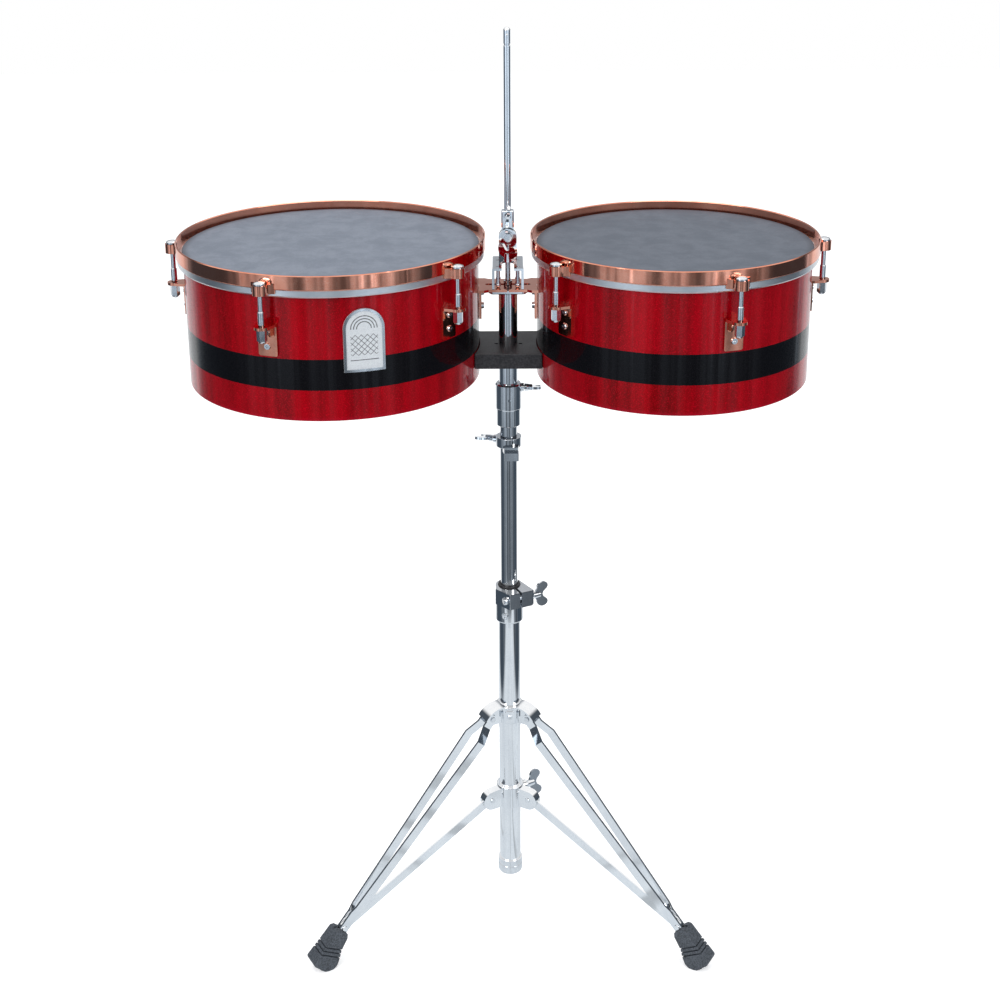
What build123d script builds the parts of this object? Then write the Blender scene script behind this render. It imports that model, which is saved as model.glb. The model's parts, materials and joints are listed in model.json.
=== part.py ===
from build123d import *
import os
from math import sin, cos, radians, hypot, sqrt

# Timbales: two single-headed drums on one height-adjustable tripod stand.
# Millimetres, +Z up, floor at z = 0, playing side towards -Y.
# The origin is on the floor, under the middle of the whole set; the stand's
# own axis is POST_X, POST_Y away from it.

# ---------------------------------------------------------------- dimensions
POST_X, POST_Y = 12.6, -57.0      # stand axis

# drums
DRUM_R = {"left": 190.5, "right": 177.8}      # shell outer radii (15 in, 14 in)
SHELL_GAP = 38.0                  # stand axis to the nearest shell face
SHELL_T = 1.6
SHELL_Z0, SHELL_Z1 = 829.2, 1004.0
HEAD_T = 0.35
HOOP_Z0, HOOP_Z1 = 997.5, 1015.4
HOOP_OUT, HOOP_T = 9.0, 2.6       # counter hoop outside the shell, thickness
FLESH_Z0, FLESH_IN, FLESH_OUT = 987.5, 0.9, 7.2
ROD_OUT = 16.9                    # tension rod axis outside the shell
LUG_ANGLES = {"left": (35.4, 107.4, 179.4, 251.4, 323.4), "right": (0.6, 72.6, 144.6, 216.6, 288.6)}
EAR_Z0, EAR_Z1 = 992.3, 1004.5
EAR_R, CAP_R = 9.2, 7.7
SHELF_Z0, SHELF_Z1 = 949.5, 953.0
LUG_PLATE_Z0 = 911.5
BADGE_ANGLE, BADGE_W, BADGE_Z0, BADGE_Z1 = -73.3, 51.0, 891.5, 971.0

# clamp under the drums
CLAMP_Y = 6.0                     # clamp centre behind the stand axis
TONGUE_Z0, TONGUE_Z1 = 942.5, 946.0
PLATE_Z0, PLATE_Z1 = 937.5, 942.5
CHANNEL_Z1, CHANNEL_X, CHANNEL_T = 974.0, 20.5, 3.0

# accessory holder
ACC_Y = 37.0
TILT_Z = 1004.0
ACC_ROD_R, ACC_ROD_Z0, ACC_ROD_Z1 = 4.75, 1019.0, 1275.5
ACC_SPIGOT_R = 4.55                # rod end inside its holder
ACC_WING_Z = 1031.0

# post, sleeve, middle tube
POST_R, POST_Z0 = 12.5, 776.4
MID_R, MID_RI, MID_Z0, MID_Z1 = 11.7, 10.2, 262.0, 776.0
SLEEVE_Z0, SLEEVE_ZM, SLEEVE_Z1 = 753.0, 777.0, 812.0
SPACER_Z0, SPACER_Z1, SPACER_Y = 847.6, 868.0, 50.0

# base
BASE_R, BASE_RI, BASE_Z0, BASE_Z1 = 15.0, 13.2, 58.0, 499.9
BORE_R = 15.05                    # bores that sit on the base tube
CLAMP_Z0, CLAMP_Z1, CLAMP_BOLT_Z = 492.5, 515.0, 503.8

# tripod
LEGS = {"left": -150, "right": -30, "rear": 90}
UP_R, UP_Z = 33.0, 315.5          # leg pivot
LOW_R, LOW_Z = 32.0, 181.0        # brace pivot
FOOT_R, FOOT_Z = 270.5, 53.5      # leg / brace rivet
STRIP_W, STRIP_T = 13.0, 3.0
GROOVE_SLOPE = 0.215              # how far the boot grooves lean along the leg
PIN_R = 2.5

os.makedirs("parts", exist_ok=True)
NODES = []


# ---------------------------------------------------------------- helpers
def V(x, y, z):
    return Vector(POST_X + x, POST_Y + y, z)


def level(z, x=0.0, y=0.0):
    """Horizontal plane, local x along +X."""
    return Plane(origin=V(x, y, z), x_dir=(1, 0, 0), z_dir=(0, 0, 1))


def side(az, x=0.0, y=0.0, off=0.0):
    """Vertical radial plane at azimuth az: local x outward, local y up."""
    a = radians(az)
    return Plane(origin=V(x - off * sin(a), y + off * cos(a), 0),
                 x_dir=(cos(a), sin(a), 0), z_dir=(sin(a), -cos(a), 0))


def facing(az, dist, z, x=0.0, y=0.0):
    """Plane that faces outward at azimuth az: local x tangential, y up."""
    a = radians(az)
    return Plane(origin=V(x + dist * cos(a), y + dist * sin(a), z),
                 x_dir=(-sin(a), cos(a), 0), z_dir=(cos(a), sin(a), 0))


def crown(r, z, h):
    """Point half-way along the arc of a dome of height h from (r, z) to the axis."""
    rho = (r * r + h * h) / (2 * h)
    return (r / 2, z + h - rho + sqrt(rho * rho - r * r / 4))


def upright(x, y):
    return Axis(V(x, y, 0), (0, 0, 1))


def save(builder, name):
    builder.part.label = name
    export_step(builder.part, f"parts/{name}.step")
    NODES.append(name)
    print(f"{name:28s} solids {len(builder.part.solids()):2d}  volume {builder.part.volume:12.1f}")


def wing_screw(plane, shank_r, shank_len, twist=0.0, hub_r=5.2, collar=None):
    """Wing screw: the hub stands on the plane and points along its normal,
    the shank goes the other way; twist turns the wings about the axis."""
    a = radians(twist)
    p = Plane(origin=plane.origin, x_dir=plane.x_dir * cos(a) + plane.y_dir * sin(a), z_dir=plane.z_dir)
    with BuildPart() as screw:
        with BuildSketch(p):
            Circle(hub_r)
        extrude(amount=10.5, taper=6)
        with BuildSketch(Plane(origin=p.origin, x_dir=p.x_dir, z_dir=-p.y_dir)):
            with BuildLine():
                Polyline((0, 14.2), (0, 2.0), (3.6, 2.6), (8.4, 5.4))
                ThreePointArc((8.4, 5.4), (17.6, 10.9), (17.2, 18.8))
                ThreePointArc((17.2, 18.8), (13.0, 21.9), (7.6, 20.0))
                Line((7.6, 20.0), (3.6, 15.4))
                Line((3.6, 15.4), (0, 14.2))
            make_face()
        extrude(amount=1.7, both=True)
        with BuildSketch(Plane(origin=p.origin, x_dir=-p.x_dir, z_dir=p.y_dir)):
            with BuildLine():
                Polyline((0, 14.2), (0, 2.0), (3.6, 2.6), (8.4, 5.4))
                ThreePointArc((8.4, 5.4), (17.6, 10.9), (17.2, 18.8))
                ThreePointArc((17.2, 18.8), (13.0, 21.9), (7.6, 20.0))
                Line((7.6, 20.0), (3.6, 15.4))
                Line((3.6, 15.4), (0, 14.2))
            make_face()
        extrude(amount=1.7, both=True)
        if shank_len > 0:
            with BuildSketch(p):
                Circle(shank_r)
            extrude(amount=-shank_len)
        if collar:
            z0, z1, r = collar
            with BuildSketch(p.offset(z0)):
                Circle(r)
            extrude(amount=z1 - z0)
    return screw


# ================================================================ base
with BuildPart() as base_tube:
    with BuildSketch(level(BASE_Z0)):
        Circle(BASE_R)
        Circle(BASE_RI, mode=Mode.SUBTRACT)
    extrude(amount=BASE_Z1 - BASE_Z0)
save(base_tube, "base_tube")

with BuildPart() as base_end_cap:
    with BuildSketch(level(52.0)):
        Circle(17.3)
    extrude(amount=23.0)
    fillet(base_end_cap.edges().filter_by(GeomType.CIRCLE).sort_by(Axis.Z)[0], radius=4.0)
    with BuildSketch(level(BASE_Z0)):
        Circle(BORE_R)
    extrude(amount=20.0, mode=Mode.SUBTRACT)
    with BuildSketch(side(0)):
        with Locations((17.3, 66.0)):
            Rectangle(1.4, 1.6)
    revolve(axis=upright(0, 0), mode=Mode.SUBTRACT)
save(base_end_cap, "base_end_cap")

# ---- upper leg collar: ring, three lobes between the leg strips, hooded tops
with BuildPart() as upper_leg_collar:
    with BuildSketch(level(304.0)):
        Circle(19.3)
    extrude(amount=26.5)
    fillet(upper_leg_collar.edges().filter_by(GeomType.CIRCLE), radius=1.2)
    for az in LEGS.values():
        with BuildSketch(side(az)):
            with BuildLine():
                Polyline((12, 304.6), (36, 304.6), (41.5, 309.5), (41.5, 318), (37, 323.5), (12, 329), close=True)
            make_face()
        extrude(amount=6.4, both=True)
        with BuildSketch(side(az)):
            with BuildLine():
                ThreePointArc((14, 331.3), (33.5, 327.4), (44.4, 316.8))
                Line((44.4, 316.8), (42.4, 315.9))
                ThreePointArc((42.4, 315.9), (32.3, 325.4), (14, 329.0))
                Line((14, 329.0), (14, 331.3))
            make_face()
        extrude(amount=11.8, both=True)
        with BuildSketch(side(az)):
            with Locations((UP_R, UP_Z)):
                Circle(PIN_R + 0.02)
        extrude(amount=14, both=True, mode=Mode.SUBTRACT)
    with BuildSketch(facing(-90, 17.0, 317.0)):
        RectangleRounded(12, 17, 1.5)
    extrude(amount=4.2)
    with BuildSketch(facing(-90, 12.0, 317.0)):
        Circle(2.05)
    extrude(amount=12.0, mode=Mode.SUBTRACT)
    with BuildSketch(level(300)):
        Circle(BORE_R)
    extrude(amount=40, mode=Mode.SUBTRACT)
save(upper_leg_collar, "upper_leg_collar")

with BuildPart() as upper_pivot_pins:
    for az in LEGS.values():
        with BuildSketch(side(az)):
            with Locations((UP_R, UP_Z)):
                Circle(PIN_R)
        extrude(amount=10.6, both=True)
        for s in (1, -1):
            with BuildSketch(side(az, off=9.8 * s)):
                with Locations((UP_R, UP_Z)):
                    Circle(4.0)
            extrude(amount=-1.5 * s, taper=18)
save(upper_pivot_pins, "upper_pivot_pins")

# ---- height clamp on the top of the base tube
with BuildPart() as height_clamp_ring:
    with BuildSketch(level(462.0)):
        Circle(19.3)
    extrude(amount=30.4)
    fillet(height_clamp_ring.edges().filter_by(GeomType.CIRCLE).sort_by(Axis.Z)[0], radius=2.6)
    with BuildSketch(facing(-107.8, 12.0, 474.5)):
        Circle(2.3)
    extrude(amount=10.0, mode=Mode.SUBTRACT)
    with BuildSketch(facing(-107.8, 18.3, 474.5)):
        Circle(5.0)
    extrude(amount=4.0, mode=Mode.SUBTRACT)
    with BuildSketch(level(460)):
        Circle(BORE_R)
    extrude(amount=40, mode=Mode.SUBTRACT)
save(height_clamp_ring, "height_clamp_ring")


def pan_screw(plane, head_r, head_h, shank_r, shank_len):
    """Cross-head pan screw standing on the plane."""
    with BuildPart() as screw:
        with BuildSketch(plane):
            Circle(head_r)
        extrude(amount=head_h, taper=14)
        with BuildSketch(plane.offset(head_h - 0.9)):
            Rectangle(head_r * 1.05, 0.9)
            Rectangle(0.9, head_r * 1.05)
        extrude(amount=1.2, mode=Mode.SUBTRACT)
        with BuildSketch(plane):
            Circle(shank_r)
        extrude(amount=-shank_len)
    return screw


clamp_ring_screw = pan_screw(facing(-107.8, 18.3, 474.5), 4.6, 2.6, 2.2, 3.2)
upper_collar_screw = pan_screw(facing(-90, 21.2, 317.0), 3.6, 1.8, 2.0, 6.0)
with BuildPart() as collar_fixing_screws:
    add(clamp_ring_screw.part)
    add(upper_collar_screw.part)
save(collar_fixing_screws, "collar_fixing_screws")

BOLT_AZ = 25.2                     # direction of the clamp bolt
bolt_start = (-4.9, -29.8)         # where it leaves the lug's left face
with BuildPart() as height_clamp_body:
    with BuildSketch(level(CLAMP_Z0)):
        Circle(19.2)
        with BuildLine():
            Polyline((-18.9, -4.0), (-18.9, -15.6), (0.9, -35.6), (32.2, -20.4), (33.6, -17.0), (14.8, 12.2), close=True)
        make_face()
    extrude(amount=CLAMP_Z1 - CLAMP_Z0)
    fillet(height_clamp_body.edges().filter_by(Axis.Z).filter_by_position(Axis.X, POST_X - 1, POST_X + 3), radius=1.2)
    # clamping slit through the front right wall
    with BuildSketch(level(CLAMP_Z0 - 1)):
        with BuildLine():
            Polyline((16.0, -30.5), (18.0, -29.6), (8.4, -9.2), (6.4, -10.1), close=True)
        make_face()
    extrude(amount=30, mode=Mode.SUBTRACT)
    with BuildSketch(level(CLAMP_Z0 - 1)):
        Circle(BORE_R)
    extrude(amount=30, mode=Mode.SUBTRACT)
    bolt_plane = Plane(origin=V(bolt_start[0] - 20 * cos(radians(BOLT_AZ)), bolt_start[1] - 20 * sin(radians(BOLT_AZ)), CLAMP_BOLT_Z),
                       x_dir=(0, 0, 1), z_dir=(cos(radians(BOLT_AZ)), sin(radians(BOLT_AZ)), 0))
    with BuildSketch(bolt_plane):
        Circle(3.1)
    extrude(amount=75, mode=Mode.SUBTRACT)
    with BuildSketch(bolt_plane):
        Circle(5.6)
    extrude(amount=20.6, mode=Mode.SUBTRACT)
    chamfer(height_clamp_body.faces().sort_by(Axis.Z)[-1].outer_wire().edges(), length=0.7)
save(height_clamp_body, "height_clamp_body")

with BuildPart() as height_clamp_bushing:
    with BuildSketch(level(500.0)):
        Circle(15.0)
        Circle(MID_R + 0.05, mode=Mode.SUBTRACT)
    extrude(amount=17.0)
    chamfer(height_clamp_bushing.edges().filter_by(GeomType.CIRCLE).sort_by(Axis.Z)[-1], length=0.8)
save(height_clamp_bushing, "height_clamp_bushing")

with BuildPart() as height_clamp_bolt:
    with BuildSketch(bolt_plane.offset(16.4)):
        Circle(5.2)
    extrude(amount=4.0)
    fillet(height_clamp_bolt.edges().filter_by(GeomType.CIRCLE)[0:1], radius=1.5)
    with BuildSketch(bolt_plane.offset(20.0)):
        Circle(3.0)
    extrude(amount=44.0)
save(height_clamp_bolt, "height_clamp_bolt")

NUT_D = 61.6                        # along the bolt, first face of the wing nut
wing_blank = wing_screw(bolt_plane.offset(NUT_D), 3.0, 0, twist=0)
with BuildPart() as height_clamp_wing_nut:
    add(wing_blank.part)
    with BuildSketch(bolt_plane.offset(NUT_D - 1)):
        Circle(3.06)
    extrude(amount=9.5, mode=Mode.SUBTRACT)
save(height_clamp_wing_nut, "height_clamp_wing_nut")

# ================================================================ sliding collar
LW_AZ = 30.0                        # lower wing bolt direction
with BuildPart() as lower_leg_collar:
    with BuildSketch(level(166.5)):
        Circle(19.3)
    extrude(amount=32.5)
    fillet(lower_leg_collar.edges().filter_by(GeomType.CIRCLE), radius=1.2)
    for az in LEGS.values():
        with BuildSketch(side(az)):
            with BuildLine():
                Line((12, 166.6), (LOW_R, 166.6))
                ThreePointArc((LOW_R, 166.6), (LOW_R + 14.2, 180.8), (LOW_R, 195.0))
                Line((LOW_R, 195.0), (12, 196.8))
                Line((12, 196.8), (12, 166.6))
            make_face()
        extrude(amount=6.2, both=True)
        # slot for the brace, closed by the hood over it
        with BuildSketch(side(az)):
            with BuildLine():
                Polyline((22.5, 160), (60, 160), (60, 176), (44.6, 185.0), (40.2, 189.6), (22.5, 189.6), close=True)
            make_face()
        extrude(amount=1.75, both=True, mode=Mode.SUBTRACT)
        with BuildSketch(side(az)):
            with Locations((LOW_R, LOW_Z)):
                Circle(PIN_R + 0.02)
        extrude(amount=10, both=True, mode=Mode.SUBTRACT)
    # boss of the wing bolt
    with BuildSketch(facing(LW_AZ, 16.0, 186.0)):
        Circle(7.0)
    extrude(amount=10.5)
    with BuildSketch(facing(LW_AZ, 10.0, 186.0)):
        Circle(3.05)
    extrude(amount=20, mode=Mode.SUBTRACT)
    with BuildSketch(level(160)):
        Circle(BORE_R)
    extrude(amount=45, mode=Mode.SUBTRACT)
save(lower_leg_collar, "lower_leg_collar")

with BuildPart() as lower_pivot_pins:
    for az in LEGS.values():
        with BuildSketch(side(az)):
            with Locations((LOW_R, LOW_Z)):
                Circle(PIN_R)
        extrude(amount=7.0, both=True)
        for s in (1, -1):
            with BuildSketch(side(az, off=6.25 * s)):
                with Locations((LOW_R, LOW_Z)):
                    Circle(3.9)
            extrude(amount=-1.4 * s, taper=18)
save(lower_pivot_pins, "lower_pivot_pins")

lower_collar_wing_bolt = wing_screw(facing(LW_AZ, 29.0, 186.0), 3.0, 13.7, twist=78)
save(lower_collar_wing_bolt, "lower_collar_wing_bolt")

# ================================================================ legs and braces
L1 = hypot(FOOT_R - UP_R, UP_Z - FOOT_Z)
L2 = hypot(FOOT_R - LOW_R, LOW_Z - FOOT_Z)


def slanted(az, r, z, dr, dz):
    """Two planes of a slanted member that starts at (r, z) and runs along
    (dr, dz): one with local y tangential, one with local y across it, upward."""
    a = radians(az)
    n = hypot(dr, dz)
    cr, cz = dr / n, dz / n
    d = (cos(a) * cr, sin(a) * cr, cz)
    up = (-cos(a) * cz, -sin(a) * cz, cr)
    o = V(r * cos(a), r * sin(a), z)
    flat = Plane(origin=o, x_dir=d, z_dir=up)              # local y tangential
    edge = Plane(origin=o, x_dir=d, z_dir=(sin(a), -cos(a), 0))   # local y = up
    return flat, edge


for name, az in LEGS.items():
    flat, edge = slanted(az, UP_R, UP_Z, FOOT_R - UP_R, FOOT_Z - UP_Z)
    line = [(-7.0, 9.6), (14.0, 9.6), (36.0, 19.0), (L1 - 34.0, 7.6), (L1 - 24.0, 4.9), (L1 + 34.0, 4.9)]
    with BuildPart() as strips:
        for s in (1, -1):
            with BuildSketch(flat):
                with BuildLine():
                    Polyline(*[(p[0], s * p[1]) for p in line],
                             *[(p[0], s * (p[1] - STRIP_T)) for p in reversed(line)], close=True)
                make_face()
            extrude(amount=STRIP_W / 2, both=True)
        with BuildSketch(edge):
            Circle(STRIP_W / 2)
            with Locations(((L1 + 34) / 2, 0)):
                Rectangle(L1 + 34, STRIP_W)
        extrude(amount=30, both=True, mode=Mode.INTERSECT)
        with BuildSketch(edge):
            Circle(PIN_R + 0.06)
            with Locations((L1, 0)):
                Circle(PIN_R + 0.02)
        extrude(amount=30, both=True, mode=Mode.SUBTRACT)
    with BuildPart() as leg:
        add(strips.part)
        for s in (1, -1):
            # foot rivet: one stub through each strip, clear of the brace between
            a = radians(az)
            o = V(FOOT_R * cos(a), FOOT_R * sin(a), FOOT_Z)
            t = Vector(-sin(a) * s, cos(a) * s, 0)
            with BuildSketch(Plane(origin=o + t * 2.0, x_dir=(0, 0, 1), z_dir=t)):
                Circle(PIN_R)
            extrude(amount=4.0)
            with BuildSketch(Plane(origin=o + t * 4.9, x_dir=(0, 0, 1), z_dir=t)):
                Circle(4.0)
            extrude(amount=1.5, taper=18)
    save(leg, f"leg_{name}")

    # rubber foot: a boot along the leg, narrow at the top, wider and rounded
    # under at the sole, flat where it stands
    foot_flat, foot_edge = slanted(az, FOOT_R, FOOT_Z, FOOT_R - UP_R, FOOT_Z - UP_Z)
    with BuildPart() as foot:
        with BuildSketch(foot_edge):
            with BuildLine():
                Line((4.0, 10.5), (7.5, 14.0))
                Line((7.5, 14.0), (58.0, 14.0))
                ThreePointArc((58.0, 14.0), (61.54, 12.54), (63.0, 9.0))
                Line((63.0, 9.0), (63.0, 1.0))
                ThreePointArc((63.0, 1.0), (59.8, -15.2), (47.0, -20.5))
                Line((47.0, -20.5), (37.0, -17.4))
                Line((37.0, -17.4), (27.0, -12.8))
                Line((27.0, -12.8), (9.0, -9.8))
                Line((9.0, -9.8), (4.0, -6.6))
                Line((4.0, -6.6), (4.0, 10.5))
            make_face()
        extrude(amount=16.0, both=True)
        with BuildSketch(foot_flat):
            with BuildLine():
                Polyline((0, 9.0), (8, 10.2), (30, 11.2), (60, 13.2), (63, 12.0), (66, 9.0),
                         (66, -9.0), (63, -12.0), (60, -13.2), (30, -11.2), (8, -10.2), (0, -9.0), close=True)
            make_face()
        extrude(amount=60, both=True, mode=Mode.INTERSECT)
        with BuildSketch(level(-30)):
            Rectangle(1400, 1400)
        extrude(amount=30, mode=Mode.SUBTRACT)
        # sockets of the two strips, and the slot that the brace swings in
        with BuildSketch(foot_edge):
            with Locations((16.0, 0)):
                Rectangle(36.4, STRIP_W + 0.2)
        extrude(amount=4.95, both=True, mode=Mode.SUBTRACT)
        with BuildSketch(foot_edge):
            with Locations((12.0, -8.0)):
                Rectangle(36, 42.0)
        extrude(amount=1.8, both=True, mode=Mode.SUBTRACT)
        # three grip grooves around the boot, slanting back under it
        for u, under in ((32.6, -11.2), (38.3, -13.2), (44.0, -15.6)):
            def groove(v, s):
                return (u + s + GROOVE_SLOPE * (v - 14.0), v)
            for v0, v1 in ((11.9, 22.0), (-30.0, under)):
                with BuildSketch(foot_edge):
                    with BuildLine():
                        Polyline(groove(v0, -1.0), groove(v0, 1.0), groove(v1, 1.0), groove(v1, -1.0), close=True)
                    make_face()
                extrude(amount=20, both=True, mode=Mode.SUBTRACT)
            for s in (1, -1):
                with BuildSketch(Plane(origin=foot_edge.origin + foot_edge.z_dir * (9.4 * s), x_dir=foot_edge.x_dir, z_dir=foot_edge.z_dir)):
                    with BuildLine():
                        Polyline(groove(-30.0, -1.0), groove(-30.0, 1.0), groove(22.0, 1.0), groove(22.0, -1.0), close=True)
                    make_face()
                extrude(amount=8.0 * s, mode=Mode.SUBTRACT)
    save(foot, f"foot_{name}")

    b_flat, b_edge = slanted(az, LOW_R, LOW_Z, FOOT_R - LOW_R, FOOT_Z - LOW_Z)
    with BuildPart() as brace:
        with BuildSketch(b_edge):
            Circle(STRIP_W / 2)
            with Locations((L2, 0)):
                Circle(STRIP_W / 2)
            with Locations((L2 / 2, 0)):
                Rectangle(L2, STRIP_W)
            Circle(PIN_R + 0.06, mode=Mode.SUBTRACT)
            with Locations((L2, 0)):
                Circle(PIN_R + 0.3, mode=Mode.SUBTRACT)
        extrude(amount=1.5, both=True)
    save(brace, f"brace_{name}")

# ================================================================ middle tube and memory lock
with BuildPart() as middle_tube:
    with BuildSketch(level(MID_Z0)):
        Circle(MID_R)
        Circle(MID_RI, mode=Mode.SUBTRACT)
    extrude(amount=MID_Z1 - MID_Z0)
save(middle_tube, "middle_tube")

LOCK_AZ, LOCK_WZ = 160.0, 729.5
with BuildPart() as memory_lock:
    with BuildSketch(level(722.5)):
        Circle(17.4)
    extrude(amount=13.6)
    fillet(memory_lock.edges().filter_by(GeomType.CIRCLE), radius=0.9)
    with BuildSketch(facing(LOCK_AZ, 14.0, LOCK_WZ)):
        Circle(5.8)
    extrude(amount=6.6)
    # split jaw at the front with the drop key under it
    with BuildSketch(level(718.0)):
        with BuildLine():
            Polyline((-8, -13), (-6, -22), (12.5, -22), (14, -12), close=True)
        make_face()
    extrude(amount=9.0)
    with BuildSketch(level(710.0)):
        with Locations((4.2, -23.6)):
            RectangleRounded(18.6, 9.4, 1.2)
    extrude(amount=11.0)
    with BuildSketch(level(700)):
        with BuildLine():
            Polyline((3.2, -10), (4.7, -10), (6.2, -19.5), (4.7, -19.5), close=True)
        make_face()
    extrude(amount=60, mode=Mode.SUBTRACT)
    with BuildSketch(level(700)):
        Circle(MID_R + 0.06)
    extrude(amount=60, mode=Mode.SUBTRACT)
    with BuildSketch(facing(LOCK_AZ, 8.0, LOCK_WZ)):
        Circle(2.95)
    extrude(amount=20, mode=Mode.SUBTRACT)
save(memory_lock, "memory_lock")

memory_lock_wing_screw = wing_screw(facing(LOCK_AZ, 22.0, LOCK_WZ), 2.9, 9.0, twist=12, hub_r=4.8)
save(memory_lock_wing_screw, "memory_lock_wing_screw")

# ================================================================ swivelling top
SLEEVE_WZ = 805.0
with BuildPart() as receiver_sleeve:
    with BuildSketch(side(0)):
        with BuildLine():
            Polyline((MID_R + 0.06, SLEEVE_Z0), (15.7, SLEEVE_Z0), (16.3, SLEEVE_Z0 + 0.6), (16.3, SLEEVE_ZM - 1.2), (15.7, SLEEVE_ZM - 0.6),
                     (15.7, SLEEVE_ZM), (17.0, SLEEVE_ZM), (17.5, SLEEVE_ZM + 0.6), (17.5, SLEEVE_Z1 - 1.6), (15.9, SLEEVE_Z1),
                     (POST_R + 0.7, SLEEVE_Z1), (POST_R + 0.05, SLEEVE_Z1 - 1.2), (POST_R + 0.05, POST_Z0 - 0.2), (MID_R + 0.06, POST_Z0 - 0.2), close=True)
        make_face()
    revolve(axis=upright(0, 0))
    with BuildSketch(facing(0, 15.0, SLEEVE_WZ)):
        Circle(6.0)
    extrude(amount=5.6)
    with BuildSketch(facing(0, 8.0, SLEEVE_WZ)):
        Circle(3.05)
    extrude(amount=20, mode=Mode.SUBTRACT)
    with BuildSketch(facing(-86, 10.0, 791.5)):
        Circle(1.9)
    extrude(amount=12, mode=Mode.SUBTRACT)
    with BuildSketch(level(790)):
        Circle(POST_R + 0.05)
    extrude(amount=40, mode=Mode.SUBTRACT)
save(receiver_sleeve, "receiver_sleeve")

sleeve_wing_bolt = wing_screw(facing(0, 21.4, SLEEVE_WZ), 3.0, 8.7, twist=-14)
save(sleeve_wing_bolt, "sleeve_wing_bolt")

with BuildPart() as centre_post:
    with BuildSketch(level(POST_Z0)):
        Circle(POST_R)
        Circle(POST_R - 1.6, mode=Mode.SUBTRACT)
    extrude(amount=PLATE_Z0 - POST_Z0)
save(centre_post, "centre_post")

CX = {"left": -(SHELL_GAP + DRUM_R["left"]), "right": SHELL_GAP + DRUM_R["right"]}

with BuildPart() as spacer_block:
    with BuildSketch(level(SPACER_Z0)):
        Rectangle(100, 2 * SPACER_Y)
        for n in ("left", "right"):
            with Locations((CX[n], 0)):
                Circle(DRUM_R[n] + 0.4, mode=Mode.SUBTRACT)
    extrude(amount=SPACER_Z1 - SPACER_Z0)
    fillet(spacer_block.edges().filter_by(Axis.Z), radius=1.5)
    chamfer(spacer_block.faces().sort_by(Axis.Z)[-1].outer_wire().edges(), length=0.8)
    chamfer(spacer_block.faces().sort_by(Axis.Z)[0].outer_wire().edges(), length=0.8)
    with BuildSketch(level(SPACER_Z0 - 1)):
        Circle(POST_R + 0.02)
        with Locations((-15.6, -6), (16.2, -6)):
            Circle(2.55)
    extrude(amount=40, mode=Mode.SUBTRACT)
save(spacer_block, "spacer_block")

with BuildPart() as spacer_screws:
    with BuildSketch(level(SPACER_Z0 - 10.5)):
        with Locations((-15.6, -6), (16.2, -6)):
            Circle(2.5)
    extrude(amount=SPACER_Z1 - SPACER_Z0 + 9.5)
save(spacer_screws, "spacer_screws")

with BuildPart() as clamp_base_plate:
    with BuildSketch(level(PLATE_Z0, 0, CLAMP_Y)):
        RectangleRounded(51, 40, 7)
        Circle(3.45, mode=Mode.SUBTRACT)
    extrude(amount=PLATE_Z1 - PLATE_Z0)
    chamfer(clamp_base_plate.faces().sort_by(Axis.Z)[0].outer_wire().edges(), length=1.2)
save(clamp_base_plate, "clamp_base_plate")

with BuildPart() as clamp_channel:
    with BuildSketch(level(TONGUE_Z1 + 0.3)):
        with Locations((0, 5.5)):
            Rectangle(2 * CHANNEL_X, 49)
            Rectangle(2 * (CHANNEL_X - CHANNEL_T), 60, mode=Mode.SUBTRACT)
    extrude(amount=CHANNEL_Z1 - TONGUE_Z1 - 0.3)
    with BuildSketch(level(CHANNEL_Z1 - CHANNEL_T)):
        with Locations((0, 12.5)):
            Rectangle(2 * CHANNEL_X, 63)
    extrude(amount=CHANNEL_T)
    fillet(clamp_channel.edges().filter_by(Axis.Y).group_by(Axis.Z)[-1], radius=2.0)
    with BuildSketch(level(CHANNEL_Z1 - 10)):
        with Locations((0, -4)):
            Rectangle(16.0, 34.0)
        with Locations((0, 13)):
            Circle(8.0)
        with Locations((-12.7, -9), (12.7, -9), (-12.7, 24), (12.7, 24)):
            Circle(2.52)
    extrude(amount=20, mode=Mode.SUBTRACT)
save(clamp_channel, "clamp_channel")

with BuildPart() as clamp_pressure_screws:
    for x, y in ((-12.7, -9), (12.7, -9), (-12.7, 24), (12.7, 24)):
        with BuildSketch(side(0, x, y)):
            with BuildLine():
                Line((0, 946.4), (1.6, 946.4))
                ThreePointArc((1.6, 946.4), (3.4, 948.6), (2.5, 951.2))
                Line((2.5, 951.2), (2.5, 973.6))
                Line((2.5, 973.6), (0, 973.6))
                Line((0, 973.6), (0, 946.4))
            make_face()
        revolve(axis=upright(x, y))
save(clamp_pressure_screws, "clamp_pressure_screws")

tee_wing_bolt = wing_screw(level(977.0, 0, CLAMP_Y), 3.4, 38.0, twist=-52, collar=(-30.6, -25.6, 5.6))
save(tee_wing_bolt, "tee_wing_bolt")

# ================================================================ accessory holder
with BuildPart() as accessory_block:
    with BuildSketch(Plane(origin=V(0, ACC_Y, 0), x_dir=(1, 0, 0), z_dir=(0, -1, 0))):
        with BuildLine():
            Line((-11.75, CHANNEL_Z1), (11.75, CHANNEL_Z1))
            Line((11.75, CHANNEL_Z1), (11.75, TILT_Z - 3))
            ThreePointArc((11.75, TILT_Z - 3), (0, TILT_Z + 10.3), (-11.75, TILT_Z - 3))
            Line((-11.75, TILT_Z - 3), (-11.75, CHANNEL_Z1))
        make_face()
        with Locations((0, TILT_Z)):
            Circle(3.02, mode=Mode.SUBTRACT)
    extrude(amount=7.0, both=True)
    with BuildSketch(Plane(origin=V(0, ACC_Y, 0), x_dir=(1, 0, 0), z_dir=(0, -1, 0))):
        with Locations((0, TILT_Z + 9.5)):
            Rectangle(40, 38)
    extrude(amount=2.6, both=True, mode=Mode.SUBTRACT)
save(accessory_block, "accessory_block")

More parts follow.
